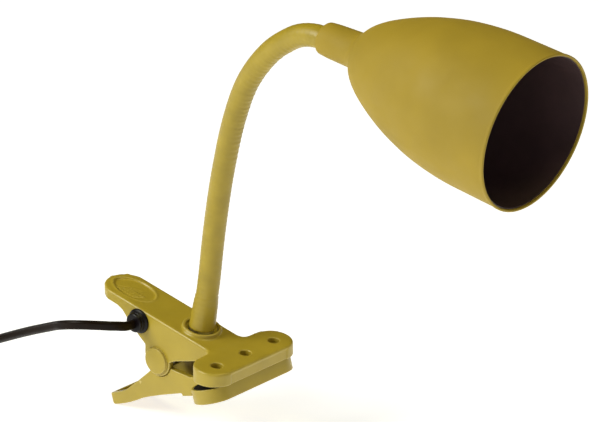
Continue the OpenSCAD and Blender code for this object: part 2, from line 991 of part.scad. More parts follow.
upper_jaw();
lower_jaw();
upper_grip_pad();
lower_grip_pad();
pivot_pin();
pivot_cap(-1);  // pivot_cap_near
pivot_cap(1);  // pivot_cap_far
clip_spring();
cord_gland();
gland_nut();
inner_lead();
neck_root_ferrule();
neck_washer();
neck_nut();
conduit(0);  // conduit_0
conduit(1);  // conduit_1
conduit(2);  // conduit_2
conduit(3);  // conduit_3
conduit(4);  // conduit_4
conduit(5);  // conduit_5
conduit(6);  // conduit_6
sleeve(0);  // sleeve_0
sleeve(1);  // sleeve_1
sleeve(2);  // sleeve_2
sleeve(3);  // sleeve_3
sleeve(4);  // sleeve_4
sleeve(5);  // sleeve_5
sleeve(6);  // sleeve_6
head_ferrule();
head_washer();
head_nut();
shade();
shade_liner();
lampholder_cap();
lampholder_body();
contact_shell();
centre_contact();
holder_wires();
mains_lead();
lead_coil();
coil_tie();
lead_to_switch();
switch_base();
switch_cover();
switch_rocker();
lead_to_plug();
plug_body();
plug_pins();
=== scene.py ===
"""Looks of the clip-on reading lamp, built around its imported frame.

Lengths are in millimetres until they become vertices.
"""

import json
import math

import bmesh
import bpy
import numpy as np
from mathutils import Matrix, Vector


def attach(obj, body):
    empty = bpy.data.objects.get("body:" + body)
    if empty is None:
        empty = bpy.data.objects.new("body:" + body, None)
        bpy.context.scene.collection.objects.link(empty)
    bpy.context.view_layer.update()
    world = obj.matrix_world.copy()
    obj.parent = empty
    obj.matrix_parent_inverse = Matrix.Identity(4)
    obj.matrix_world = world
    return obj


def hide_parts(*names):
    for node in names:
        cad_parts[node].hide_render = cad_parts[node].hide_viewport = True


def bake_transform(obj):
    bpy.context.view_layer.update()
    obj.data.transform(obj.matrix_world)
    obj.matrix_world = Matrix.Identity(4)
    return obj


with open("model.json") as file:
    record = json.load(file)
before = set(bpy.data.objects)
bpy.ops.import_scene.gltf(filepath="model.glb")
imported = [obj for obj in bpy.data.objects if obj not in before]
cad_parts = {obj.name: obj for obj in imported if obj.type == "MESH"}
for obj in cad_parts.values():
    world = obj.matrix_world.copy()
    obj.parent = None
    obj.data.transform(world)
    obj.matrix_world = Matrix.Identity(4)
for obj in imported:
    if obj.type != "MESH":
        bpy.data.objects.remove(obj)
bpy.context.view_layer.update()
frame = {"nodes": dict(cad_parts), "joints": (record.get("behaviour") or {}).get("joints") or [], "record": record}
nodes = frame["nodes"]
joints = {j["name"]: j for j in frame["joints"]}
MM = 0.001

# --- Sizes: those of the CAD, with a little trimming of the shade's outline ---

PIVOT = Vector(joints["jaw_pivot"]["pos_m"]) / MM
ROOT = (-32.0, 15.6)
LEAN, BEND_END, HEAD_LEAN = 10.3, 56.3, 98.9
STRAIGHT, BEND_R, CROOK_R = 113.2, 106.4, 32.0
BEND_L = BEND_R * math.radians(BEND_END - LEAN)
CROOK_L = CROOK_R * math.radians(HEAD_LEAN - BEND_END)
NECK_L = STRAIGHT + BEND_L + CROOK_L
NECK_JOINTS = [STRAIGHT / 3, STRAIGHT * 2 / 3, STRAIGHT] + [STRAIGHT + BEND_L * k / 3 for k in (1, 2, 3)]
FLOOR_Z = -44.5
TURN_R, COIL_TURNS, COIL_LAYER, COIL_FOOT = 35.0, 7, 5.4, 0.6
LAYER_GAP = 0.1
LEAD_W, LEAD_T = 5.2, 3.3
ENTRY, ENTRY_HEADING, END_HEADING = (-229.0, -10.5), 165.0, -8.0
PLUG_DROP = -0.5
END_Z = FLOOR_Z + 7.5
SWITCH_GAP, SWITCH_L, PLUG_GAP, PLUG_L = 20.0, 60.0, 18.0, 36.0
GLAND = (-67.0, 13.0)
HALF_W = 13.2
BAR_TOP, LEVER_START, LEVER_STEP, LEVER_SLOPE = 8.6, -14.0, 0.95, 11.5
RECESS_X, LEVER_WALL = -82.5, 2.2
HOLE_Y = (-23, 0, 23)
JAW_SPREAD = 16.4
WIRE, SPRING_D, SPRING_TURNS = 1.8, 11.0, 4
SHADE_L, MOUTH_R, COLLAR_R = 138.6, 41.6, 9.7

# The lead's way from the gland to the coil
ROUTE = [
    (-67, -18.2, 12.4), (-67, -20.2, 12.5), (-67, -22.2, 12.8), (-66.85, -24.7, 13.35),
    (-67.1, -27.8, 14.3), (-67.87, -30.79, 15.18), (-68.93, -33.67, 15.77), (-70.53, -36.3, 16.36),
    (-72.41, -38.75, 16.78), (-74.49, -40.86, 16.97), (-77.18, -42.93, 17.03),
    (-80.49, -44.81, 16.83), (-84.35, -46.21, 16.26), (-89.04, -47.02, 15.23),
    (-94.88, -46.64, 13.26), (-100.68, -44.63, 10.72), (-108.52, -42.38, 7),
    (-116.47, -40.27, 3.23), (-124.41, -38.23, -0.53), (-133.35, -35.9, -4.9),
    (-142.29, -33.47, -9.37), (-151.23, -31.13, -13.93), (-160.18, -28.8, -18.5),
    (-169.12, -26.47, -23.07), (-178.06, -24.13, -27.53), (-187, -21.8, -31.7),
    (-196, -19.3, -35.4), (-205, -16.9, -38.3), (-213, -14.8, -40.1), (-221, -12.6, -41),
    (-229, -10.5, -41.3),
]

# The bell's outline: (distance from the collar's root, radius)
BELL = [
    (21.5, COLLAR_R + 0.1), (25, COLLAR_R + 1.8), (30.5, 17.1), (37, 21.7), (45.5, 26.2),
    (56, 30.8), (67, 34.6), (82.5, 38.5), (101, 40.9), (119.5, 41.4), (SHADE_L, MOUTH_R),
]


def lever_top(x):
    """The height of the upper lever's sloping top."""
    return BAR_TOP + LEVER_STEP + (LEVER_START - x) * math.tan(math.radians(LEVER_SLOPE))


# --- Camera and light ---

def look_at(obj, place, target):
    obj.location = place
    obj.rotation_mode = "QUATERNION"
    obj.rotation_quaternion = (Vector(target) - Vector(place)).to_track_quat("-Z", "Y")


def link(obj):
    bpy.context.scene.collection.objects.link(obj)
    return obj


camera = link(bpy.data.objects.new("camera", bpy.data.cameras.new("camera")))
camera.data.lens = 205.4
camera.data.sensor_width = 36.0
camera.data.clip_start, camera.data.clip_end = 0.05, 60.0
look_at(camera, (1.14702, -1.26969, 0.75135), (0.0394, 0.0, 0.1012))
bpy.context.scene.camera = camera
bpy.context.scene.view_settings.view_transform = "Standard"


# --- Curves ---

def lean_at(s):
    """The neck's lean from upright, in degrees, at a distance s from its root."""
    if s < STRAIGHT:
        return LEAN
    if s < STRAIGHT + BEND_L:
        return LEAN + math.degrees((s - STRAIGHT) / BEND_R)
    return BEND_END + math.degrees((s - STRAIGHT - BEND_L) / CROOK_R)


def neck_at(s):
    """The neck's centreline, x and z, at a distance s from its root."""
    def step(r, a, b):
        a, b = math.radians(a), math.radians(b)
        return r * (math.cos(a) - math.cos(b)), r * (math.sin(b) - math.sin(a))
    d = min(s, STRAIGHT)
    x = ROOT[0] + d * math.sin(math.radians(LEAN))
    z = ROOT[1] + d * math.cos(math.radians(LEAN))
    dx, dz = step(BEND_R, LEAN, min(lean_at(s), BEND_END))
    x, z = x + dx, z + dz
    if s > STRAIGHT + BEND_L:
        dx, dz = step(CROOK_R, BEND_END, lean_at(s))
        x, z = x + dx, z + dz
    return x, z


def on_neck(s):
    """The matrix, in millimetres, that puts Z along the neck at a distance s."""
    x, z = neck_at(s)
    return Matrix.Translation((x, 0, z)) @ Matrix.Rotation(math.radians(lean_at(s)), 4, "Y")


HEAD = on_neck(NECK_L)
SHELL = Matrix.Translation((0, 0, 0.6)) @ HEAD @ Matrix.Rotation(math.radians(-0.15), 4, "Y")


def through(points, n):
    """A smooth curve through points, with n steps from each to the next."""
    p = [np.array(q, float) for q in points]
    out = []
    for i in range(len(p) - 1):
        a, b, c, d = p[max(i - 1, 0)], p[i], p[i + 1], p[min(i + 2, len(p) - 1)]
        for k in range(n):
            t = k / n
            out.append((2 * b + (c - a) * t + (2 * a - 5 * b + 4 * c - d) * t * t
                        + (3 * b - a - 3 * c + d) * t ** 3) / 2)
    out.append(p[-1])
    return np.array(out)


def evenly(points, gap):
    """The same line with its points about gap apart."""
    p = np.array(points, float)
    d = np.r_[0, np.cumsum(np.linalg.norm(np.diff(p, axis=0), axis=1))]
    at = np.linspace(0, d[-1], max(2, int(round(d[-1] / gap)) + 1))
    return np.array([np.interp(at, d, p[:, k]) for k in range(3)]).T


def fillet(points, r, steps=4):
    """A profile with its inner corners rounded; r is one radius, or one for each point."""
    out = [points[0]]
    for i in range(1, len(points) - 1):
        a, b, c = (Vector(points[k]) for k in (i - 1, i, i + 1))
        reach = r[i] if hasattr(r, "__len__") else r
        reach = min(reach, (a - b).length * 0.48, (c - b).length * 0.48)
        if reach < 1e-4:
            out.append(tuple(b))
            continue
        p, q = b + (a - b).normalized() * reach, b + (c - b).normalized() * reach
        for k in range(steps + 1):
            t = k / steps
            out.append(tuple(p * (1 - t) ** 2 + b * 2 * t * (1 - t) + q * t * t))
    out.append(points[-1])
    return out


# --- Meshes ---

def make(name, verts, faces, matrix=None, sharp=38):
    """A new mesh object from points in millimetres."""
    mesh = bpy.data.meshes.new(name)
    m = matrix or Matrix.Identity(4)
    mesh.from_pydata([tuple((m @ Vector(v)) * MM) for v in verts], [], faces)
    b = bmesh.new()
    b.from_mesh(mesh)
    bmesh.ops.recalc_face_normals(b, faces=b.faces)
    b.to_mesh(mesh)
    b.free()
    mesh.shade_smooth()
    mesh.set_sharp_from_angle(angle=math.radians(sharp))
    return link(bpy.data.objects.new(name, mesh))


def lathe(name, profile, matrix, segments=96, closed=False, sharp=38, shift=None):
    """A solid turned about Z from its (radius, height) profile; shift(h) moves each ring along X.

    An open profile starts and ends on the axis.
    """
    verts, faces, rings = [], [], []
    for r, h in profile:
        ring = [len(verts)] if r < 1e-6 else list(range(len(verts), len(verts) + segments))
        n = len(ring)
        dx = shift(h) if shift else 0.0
        turns = [math.tau * k / segments for k in range(n)]
        verts += [(dx + r * math.cos(a), r * math.sin(a), h) for a in turns]
        rings.append(ring)
    for a, b in list(zip(rings, rings[1:])) + ([(rings[-1], rings[0])] if closed else []):
        for k in range(segments):
            j = (k + 1) % segments
            quad = (a[k % len(a)], a[j % len(a)], b[j % len(b)], b[k % len(b)])
            faces.append(list(dict.fromkeys(quad)))
    return make(name, verts, faces, matrix, sharp)


def sweep(name, path, section, up, sharp=60, size=None):
    """A closed solid along path, an array of points; size(i) scales its section there."""
    path, up = np.array(path, float), np.array(up, float)
    n, last, verts, faces = len(section), len(path) - 1, [], []
    for i, p in enumerate(path):
        d = path[min(i + 1, last)] - path[max(i - 1, 0)]
        side = np.cross(d, up)
        top = np.cross(side, d)
        side, top = side / np.linalg.norm(side), top / np.linalg.norm(top)
        k = size(i) if size else 1.0
        verts += [p + k * (u * side + v * top) for u, v in section]
    for i in range(last):
        for k in range(n):
            j = (k + 1) % n
            faces.append((i * n + k, i * n + j, (i + 1) * n + j, (i + 1) * n + k))
    faces += [tuple(reversed(range(n))), tuple(range(last * n, last * n + n))]
    return make(name, verts, faces, sharp=sharp)


def circle(r, n):
    return [(r * math.cos(math.tau * k / n), r * math.sin(math.tau * k / n)) for k in range(n)]


def finish_piece(obj, body, slot, material, *replaced):
    """Colours a piece, and makes it ride on its body and stand for its CAD nodes."""
    obj.data.materials.clear()
    obj.data.materials.append(material)
    if body:
        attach(obj, body)
    if replaced:
        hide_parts(*replaced)
    return obj


def moulded(node, name, voxel, smooth, keep=1.0, change=None, rounder=None):
    """A copy of a CAD node with a moulding's soft edges; keep is the share of its faces that stays."""
    obj = link(bpy.data.objects.new(name, nodes[node].data.copy()))
    obj.parent = None
    remesh = obj.modifiers.new("remesh", "REMESH")
    remesh.mode, remesh.voxel_size, remesh.adaptivity = "VOXEL", voxel * MM, 0.0
    soften = obj.modifiers.new("soften", "SMOOTH")
    soften.factor, soften.iterations = 0.5, smooth
    if keep < 1:
        thin = obj.modifiers.new("thin", "DECIMATE")
        thin.ratio = keep
    graph = bpy.context.evaluated_depsgraph_get()
    mesh = bpy.data.meshes.new_from_object(obj.evaluated_get(graph))
    obj.modifiers.clear()
    obj.data = mesh
    if change:
        co = np.empty(len(mesh.vertices) * 3)
        mesh.vertices.foreach_get("co", co)
        co = change(co.reshape(-1, 3) / MM) * MM
        mesh.vertices.foreach_set("co", co.ravel())
    if rounder:
        round_off(mesh, rounder)
    mesh.shade_smooth()
    mesh.update()
    return obj


def round_off(mesh, weight, times=26):
    """Smooths a mesh where weight(points) is above nought, which rounds the edges there."""
    n = len(mesh.vertices)
    co, ends = np.empty(n * 3), np.empty(len(mesh.edges) * 2, dtype=np.int32)
    mesh.vertices.foreach_get("co", co)
    mesh.edges.foreach_get("vertices", ends)
    co, ends = co.reshape(-1, 3), ends.reshape(-1, 2)
    a, b = np.r_[ends[:, 0], ends[:, 1]], np.r_[ends[:, 1], ends[:, 0]]
    count = np.maximum(np.bincount(a, minlength=n), 1)
    w = 0.6 * np.clip(weight(co / MM), 0, 1)
    for _ in range(times):
        for k in range(3):
            middle = np.bincount(a, weights=co[b, k], minlength=n) / count
            co[:, k] += w * (middle - co[:, k])
    mesh.vertices.foreach_set("co", co.ravel())


# --- Materials ---

ROUGH_VARIATION = 0.06


def surface(name, base, rough, grain=(), mottle=0.04, mottle_scale=60.0, edge_highlight=0.0, metallic=0.0,
            specular=0.5, sheen=0.0, waves=None):
    """A procedural material: grain lists (scale, height in millimetres), and the edge highlight, a painted highlight,
    lightens convex edges.
    """
    m = bpy.data.materials.new(name)
    m.use_nodes = True
    tree = m.node_tree
    shader = tree.nodes["Principled BSDF"]
    shader.inputs["Metallic"].default_value = metallic
    shader.inputs["Specular IOR Level"].default_value = specular
    shader.inputs["Sheen Weight"].default_value = sheen
    place = tree.nodes.new("ShaderNodeTexCoord").outputs["Object"]

    def add(kind, **values):
        node = tree.nodes.new(kind)
        for key, value in values.items():
            if key in node.inputs:
                node.inputs[key].default_value = value
            else:
                setattr(node, key, value)
        return node

    def noise(scale, detail=3.0):
        node = add("ShaderNodeTexNoise", Scale=scale, Detail=detail)
        tree.links.new(place, node.inputs["Vector"])
        return node.outputs["Fac"]

    cloud = noise(mottle_scale)
    ramp = add("ShaderNodeValToRGB")
    dark, light = ([min(1.0, c * k) for c in base] + [1.0] for k in (1 - mottle, 1 + mottle))
    low, high = ramp.color_ramp.elements
    low.position, high.position = 0.3, 0.7
    low.color, high.color = dark, light
    tree.links.new(cloud, ramp.inputs["Fac"])
    colour = ramp.outputs["Color"]
    # Painted highlight: where pointiness marks a convex edge, the colour is mixed towards a paler tint.
    if edge_highlight:
        geometry = add("ShaderNodeNewGeometry")
        reach = add("ShaderNodeMapRange")
        for key, value in (("From Min", 0.513), ("From Max", 0.565), ("To Min", 0.0), ("To Max", edge_highlight)):
            reach.inputs[key].default_value = value
        tree.links.new(geometry.outputs["Pointiness"], reach.inputs["Value"])
        painted_highlight = add("ShaderNodeMix", data_type="RGBA")
        painted_highlight.inputs["B"].default_value = [min(1.0, c + k) for c, k in zip(base, (0.3, 0.3, 0.2))] + [1.0]
        tree.links.new(reach.outputs["Result"], painted_highlight.inputs["Factor"])
        tree.links.new(colour, painted_highlight.inputs["A"])
        colour = painted_highlight.outputs["Result"]
    tree.links.new(colour, shader.inputs["Base Color"])

    gloss = add("ShaderNodeMapRange")
    limits = (("From Min", 0.3), ("From Max", 0.7), ("To Min", rough - ROUGH_VARIATION),
              ("To Max", rough + ROUGH_VARIATION))
    for key, value in limits:
        gloss.inputs[key].default_value = value
    tree.links.new(noise(mottle_scale * 3), gloss.inputs["Value"])
    tree.links.new(gloss.outputs["Result"], shader.inputs["Roughness"])

    def bumped(pattern, strength, height, under):
        bump = add("ShaderNodeBump", Strength=strength, Distance=height * MM)
        tree.links.new(pattern, bump.inputs["Height"])
        if under:
            tree.links.new(under, bump.inputs["Normal"])
        return bump.outputs["Normal"]

    normal = None
    for scale, height in grain:
        normal = bumped(noise(scale, 2.0), 0.6, height, normal)
    if waves:
        scale, height = waves
        wave = add("ShaderNodeTexWave", Scale=scale, Distortion=1.5, Detail=2.0)
        tree.links.new(place, wave.inputs["Vector"])
        normal = bumped(wave.outputs["Fac"], 0.5, height, normal)
    if normal:
        tree.links.new(normal, shader.inputs["Normal"])
    return m


# The clip's plastic carries the painted highlight on its convex edges.
clip_plastic = surface("clip_plastic", (0.455, 0.335, 0.028), 0.38, [(2600, 0.03), (700, 0.02)],
                       mottle=0.06, edge_highlight=0.75, specular=0.6)
ridge_plastic = surface("ridge_plastic", (0.42, 0.31, 0.026), 0.45, [(2600, 0.02)], mottle=0.05, specular=0.4)
shade_paint = surface("shade_paint", (0.38, 0.262, 0.020), 0.64, [(3200, 0.05), (900, 0.05)],
                      mottle=0.10, mottle_scale=24, specular=0.4)
shade_inside = surface("shade_inside", (0.06, 0.032, 0.032), 0.55, [(2500, 0.03)], mottle=0.15)
silicone = surface("sleeve_silicone", (0.40, 0.29, 0.018), 0.42, [(1800, 0.03), (500, 0.05)],
                   mottle=0.09, mottle_scale=90)
grip_rubber = surface("grip_rubber", (0.010, 0.007, 0.006), 0.7, [(2200, 0.04)], mottle=0.2, specular=0.3)
gland_plastic = surface("gland_plastic", (0.003, 0.0012, 0.002), 0.35, [(2400, 0.02)],
                        mottle=0.2, specular=0.25)
lead_pvc = surface("lead_pvc", (0.010, 0.005, 0.002), 0.38, [(1500, 0.02)],
                   mottle=0.25, mottle_scale=120, specular=0.12)
switch_plastic = surface("switch_plastic", (0.006, 0.005, 0.005), 0.45, [(3200, 0.04)],
                         mottle=0.2, specular=0.35)
rocker_plastic = surface("rocker_plastic", (0.010, 0.009, 0.009), 0.25, [(900, 0.01)], mottle=0.2)
holder_plastic = surface("lampholder_plastic", (0.014, 0.012, 0.012), 0.38, [(1800, 0.02)], mottle=0.2)
strap = surface("tie", (0.016, 0.015, 0.015), 0.85, [(5000, 0.08)], mottle=0.35, mottle_scale=1800, sheen=0.3)
zinc = surface("zinc_steel", (0.55, 0.55, 0.57), 0.34, [(1200, 0.01)],
               mottle=0.1, metallic=1.0, waves=(400, 0.01))
spring_steel = surface("spring_steel", (0.42, 0.42, 0.44), 0.28, [(2000, 0.01)], mottle=0.15, metallic=1.0)
conduit_steel = surface("conduit_steel", (0.5, 0.5, 0.52), 0.35, mottle=0.1, metallic=1.0, waves=(260, 0.1))
nickel = surface("nickel_pins", (0.68, 0.66, 0.62), 0.16, [(1500, 0.004)], mottle=0.05, metallic=1.0)
brass = surface("contact_brass", (0.62, 0.42, 0.15), 0.3, [(1500, 0.01)], mottle=0.1, metallic=1.0)

by_slot = {
    "clip_plastic": clip_plastic, "shade_paint": shade_paint, "shade_inside": shade_inside,
    "sleeve_silicone": silicone, "grip_rubber": grip_rubber, "gland_plastic": gland_plastic,
    "lead_pvc": lead_pvc, "switch_plastic": switch_plastic, "rocker_plastic": rocker_plastic,
    "lampholder_plastic": holder_plastic, "tie": strap, "zinc_steel": zinc, "spring_steel": spring_steel,
    "conduit_steel": conduit_steel, "nickel_pins": nickel, "contact_brass": brass,
}
for part in frame["record"]["subparts"]:
    data = nodes[part["node"]].data
    data.materials.clear()
    data.materials.append(by_slot[part["material_slot"]])


# --- The lead ---

def heading(a):
    """A level unit vector at an angle a, in degrees."""
    return np.array([math.cos(math.radians(a)), math.sin(math.radians(a)), 0.0])


def left_of(a):
    """The level unit vector to the left of a heading a."""
    return np.array([-math.sin(math.radians(a)), math.cos(math.radians(a)), 0.0])


COIL_C = np.array([*ENTRY, 0.0]) + TURN_R * left_of(ENTRY_HEADING)
END = COIL_C - TURN_R * left_of(END_HEADING) + np.array([0, 0, END_Z])


def on_end(d, y=0.0, z=0.0):
    """A point on the run from the coil to the plug: d along it, y to its left, z up."""
    return END + d * heading(END_HEADING) + y * left_of(END_HEADING) + np.array([0, 0, z])


END_FRAME = Matrix.Translation(END) @ Matrix.Rotation(math.radians(END_HEADING), 4, "Z")


def coil_points():
    """The coil's turns: inwards in the lower layer, up, and outwards in the upper one."""
    start, stop = ENTRY_HEADING - 90, END_HEADING - 90 + 360 * COIL_TURNS
    low, high = (FLOOR_Z + COIL_FOOT + COIL_LAYER * (k + 0.5) + LAYER_GAP * k for k in (0, 1))
    out = []
    for a in np.arange(start + 6, stop - 3, 6.0):
        t = (a - start) / (stop - start)
        inward = 1 - abs(2 * t - 1)
        r = TURN_R - inward * 3.5 * (stop - start) / 720
        rise = min(1.0, max(0.0, (t - 0.5) * (stop - start) / 110 + 0.5))
        z = low + (high - low) * rise * rise * (3 - 2 * rise)
        bulge = 0.25 * math.sin(math.radians(a * 2.3))
        out.append(COIL_C + (r + bulge * inward) * heading(a) + np.array([0, 0, z]))
    return out


switch_x = SWITCH_GAP
plug_x = SWITCH_GAP + SWITCH_L + PLUG_GAP
top_z = FLOOR_Z + COIL_FOOT + 1.5 * COIL_LAYER + LAYER_GAP - END_Z
off_coil = [(0.5, top_z), (5, top_z), (9, top_z * 0.7), (13, top_z * 0.2), (SWITCH_GAP, 0)]
under_rocker = [(10, -1.0), (20, -2.4), (30, -2.7), (40, -2.4), (50, -1.0), (SWITCH_L, 0)]
lead_points = list(through(ROUTE, 3)) + coil_points()
lead_points += [on_end(d, 0, z) for d, z in off_coil]
lead_points += [on_end(switch_x + d, 0, z) for d, z in under_rocker]
lead_points += [on_end(switch_x + SWITCH_L + d, 0, PLUG_DROP * d / PLUG_GAP) for d in (6, 12, PLUG_GAP)]
lead_points += [on_end(plug_x + d, 0, PLUG_DROP) for d in (5, 10)]
lead_path = evenly(lead_points, 2.4)


def twin_section(w, t, n=28):
    """Two cores side by side under one flat jacket: an oval with a faint waist."""
    out = []
    for k in range(n):
        a = math.tau * k / n
        c, s = math.cos(a), math.sin(a)
        v = w / 2 * math.copysign(abs(s) ** 0.85, s)
        u = t / 2 * math.copysign(abs(c) ** 0.6, c) * (1 - 0.07 * math.exp(-(v / 0.55) ** 2))
        out.append((u, v))
    return out


lead = sweep("mains_lead_flex", lead_path, twin_section(LEAD_W, LEAD_T), (0, 0, 1))
finish_piece(lead, "clip", "lead_pvc", lead_pvc, "mains_lead", "lead_coil", "lead_to_switch", "lead_to_plug")


def on_lead_piece(obj, slot, material, *replaced, body="clip"):
    """Finishes a piece that sits on the lead."""
    finish_piece(obj, body, slot, material, *replaced)


def loft(name, sections, matrix, power=4.0, n=48, sharp=40):
    """A solid through rounded rectangles: (x, half width, half height, z of the middle)."""
    verts, faces = [], []
    for x, hw, hh, z in sections:
        for k in range(n):
            a = math.tau * k / n
            c, s = math.cos(a), math.sin(a)
            verts.append((x, hw * math.copysign(abs(c) ** (2 / power), c),
                          z + hh * math.copysign(abs(s) ** (2 / power), s)))
    for i in range(len(sections) - 1):
        for k in range(n):
            j = (k + 1) % n
            faces.append((i * n + k, i * n + j, (i + 1) * n + j, (i + 1) * n + k))
    last = (len(sections) - 1) * n
    faces += [tuple(reversed(range(n))), tuple(range(last, last + n))]
    return make(name, verts, faces, matrix, sharp)


def boot(x0, x1, thin, thick, z, rings):
    """Sections of a ribbed bend relief between x0, its thin end, and x1."""
    out = []
    for k in range(rings * 4 + 1):
        t = k / (rings * 4)
        groove = 0.82 if k % 4 == 2 else 1.0
        half_w, half_h = ((a + (b - a) * t) * groove for a, b in zip(thin, thick))
        out.append((x0 + (x1 - x0) * t, half_w, half_h, z))
    return out


for node in ("switch_base", "switch_cover"):
    on_lead_piece(moulded(node, node + "_shell", 0.4, 4, 0.5), "switch_plastic", switch_plastic, node)
rocker = moulded("switch_rocker", "switch_rocker_key", 0.25, 5, 0.5)
on_lead_piece(rocker, "rocker_plastic", rocker_plastic, "switch_rocker", body="switch_rocker")
for side, end, out in (("in", switch_x, -1), ("out", switch_x + SWITCH_L, 1)):
    sections = boot(end + 9 * out, end - 0.5 * out, (2.4, 3.1), (3.4, 4.2), 0.0, 4)
    relief = loft("switch_relief_" + side, sections, END_FRAME, 3.0, 36)
    on_lead_piece(relief, "switch_plastic", switch_plastic)

plug_outline = [(0, 4, 3.5), (3, 4.6, 4.1), (7, 6.4, 5.6), (11, 8.4, 6.7), (15, 9.8, 7)]
for x in (17, 20, 23, 26):
    w = 10.2 + (x - 17) * 0.33
    plug_outline += [(x, w, 7), (x + 0.7, w - 0.7, 6.4), (x + 1.6, w - 0.6, 6.4), (x + 2.3, w + 0.25, 7)]
plug_outline += [(30, 13.5, 7), (34.8, 13.5, 7), (35.6, 13.2, 6.7), (36, 12.5, 6.1)]
plug = loft("plug_shell", [(*section, PLUG_DROP) for section in plug_outline],
            END_FRAME @ Matrix.Translation((plug_x, 0, 0)))
on_lead_piece(plug, "switch_plastic", switch_plastic, "plug_body")
sections = boot(plug_x - 13, plug_x + 0.5, (2.3, 3.0), (4.0, 3.6), PLUG_DROP, 6)
relief = loft("plug_relief", sections, END_FRAME, 3.0, 36)
on_lead_piece(relief, "switch_plastic", switch_plastic)
pin_profile = [(0, -1), (1.98, -1)] + fillet([(1.98, 0), (1.98, 19), (0, 19)], 1.2, 5)[1:]
guard_profile = [(1.9, -0.5), (2.0, -0.5), (2.0, 9.6), (1.97, 9.8), (1.9, 9.8)]
for side, y, stands_for in (("near", -9.3, ["plug_pins"]), ("far", 9.3, [])):
    at = END_FRAME @ Matrix.Translation((plug_x + PLUG_L, y, PLUG_DROP)) @ Matrix.Rotation(math.pi / 2, 4, "Y")
    pin = lathe("plug_pin_" + side, pin_profile, at, 32)
    on_lead_piece(pin, "nickel_pins", nickel, *stands_for)
    guard = lathe("plug_pin_guard_" + side, guard_profile, at, 32, closed=True)
    on_lead_piece(guard, "switch_plastic", switch_plastic)

# The hook-and-loop strap round the coil: a flat band swept round a rounded rectangle
STRAP_HALF_W, STRAP_HALF_T, COIL_BORE_R = 3.9, 0.28, 21.0
coil_outer = TURN_R + LEAD_T / 2 + 0.2
mid_r = (coil_outer + COIL_BORE_R) / 2
half_u = (coil_outer - COIL_BORE_R + 0.6) / 2 + 0.3
low_z, high_z = 0.3, 2 * COIL_LAYER + 0.2 + 3 * COIL_FOOT / 2
loop = fillet([(0, low_z), (half_u, low_z), (half_u, high_z), (-half_u, high_z), (-half_u, low_z), (0, low_z)], 1.6, 5)
strap_verts, strap_faces, count = [], [], len(loop) - 1
for k in range(count):
    before, here, after = (Vector(loop[i % count]) for i in (k - 1, k, k + 1))
    out = Vector(((after - before).y, -(after - before).x)).normalized() * STRAP_HALF_T
    for side, y in ((out, -STRAP_HALF_W), (out, STRAP_HALF_W), (-out, STRAP_HALF_W), (-out, -STRAP_HALF_W)):
        strap_verts.append((here.x + side.x, y, here.y + side.y))
    j = (k + 1) % count
    for e in range(4):
        f = (e + 1) % 4
        strap_faces.append((k * 4 + e, k * 4 + f, j * 4 + f, j * 4 + e))
strap_frame = (Matrix.Translation((COIL_C[0], COIL_C[1], FLOOR_Z)) @ Matrix.Rotation(math.radians(190), 4, "Z")
               @ Matrix.Translation((mid_r, 0, 0)))
on_lead_piece(make("coil_strap", strap_verts, strap_faces, strap_frame), "tie", strap, "coil_tie")


# --- The clip ---

def top_edges(co):
    """Where the upper jaw's rims are: full round its outside, less round its slot, holes and recess."""
    x, y, z = co.T
    top = np.where(x < LEVER_START, lever_top(x), BAR_TOP)
    near = np.clip((z - top + 2.6) / 0.8, 0, 1)
    inner = (x > -98) & (x < -30) & (np.abs(y) < HALF_W - 3.2)
    for hole in HOLE_Y:
        inner |= x ** 2 + (y - hole) ** 2 < 4.8 ** 2
    return near * np.where(inner, 0.12, 0.9)


def longer_tail(co):
    """The rear end of the lever is a little fuller than the plain arc."""
    out = co.copy()
    out[:, 0] -= 1.3 * np.clip((-86 - co[:, 0]) / 14, 0, 1) ** 1.5
    return out


jaw = moulded("upper_jaw", "upper_jaw_moulding", 0.38, 3, change=longer_tail, rounder=top_edges)
finish_piece(jaw, "clip", "clip_plastic", clip_plastic, "upper_jaw")
jaw = moulded("lower_jaw", "lower_jaw_moulding", 0.33, 5, 0.4)
finish_piece(jaw, "lower_jaw", "clip_plastic", clip_plastic, "lower_jaw")

# Fine slanting ridges on the floor of the thumb recess: each has nine stations along it, of five points
STATIONS = 9
ridge_verts, ridge_faces = [], []
middle, along, across = Vector((-1.2, -3.3)), Vector((0.878, 0.479)), Vector((-0.479, 0.878))


def in_recess(p):
    return (p.x / 11.8) ** 2 + (p.y / 7.2) ** 2 < 1


for k in range(-4, 5):
    reach = [t for t in np.arange(-8, 8.01, 0.25) if in_recess(middle + along * t + across * k)]
    if len(reach) < 8:
        continue
    first = len(ridge_verts)
    for i, t in enumerate(np.linspace(reach[0], reach[-1], STATIONS)):
        p = middle + along * t + across * k
        h = 0.24 * min(1.0, 3 * min(i, 8 - i) / 8 + 0.05)
        for w, up in ((-0.3, -0.1), (-0.16, 0.75 * h), (0, h), (0.16, 0.75 * h), (0.3, -0.1)):
            ridge_verts.append((p.x + across.x * w, p.y + across.y * w, -0.7 + up))
        if i:
            low, high = first + 5 * (i - 1), first + 5 * i
            ridge_faces += [(low + e, low + (e + 1) % 5, high + (e + 1) % 5, high + e) for e in range(5)]
    last = first + 5 * (STATIONS - 1)
    ridge_faces += [tuple(range(first, first + 5)), tuple(range(last, last + 5))]
at = (Matrix.Translation((RECESS_X, 0, lever_top(RECESS_X)))
      @ Matrix.Rotation(math.radians(LEVER_SLOPE), 4, "Y"))
ridges = make("thumb_ridges", ridge_verts, ridge_faces, at, 70)
finish_piece(ridges, "clip", "clip_plastic", ridge_plastic)

cap_profile = [(0, 0), (7.7, 0)] + fillet([(7.7, 0), (7.7, 1.75), (0, 1.75)], 0.8, 6)[1:]
for side, sign in (("near", -1), ("far", 1)):
    at = Matrix.Translation((PIVOT.x, sign * HALF_W, PIVOT.z)) @ Matrix.Rotation(-sign * math.pi / 2, 4, "X")
    cap = lathe("pivot_cap_" + side + "_button", cap_profile, at)
    finish_piece(cap, "clip", "clip_plastic", clip_plastic, "pivot_cap_" + side)


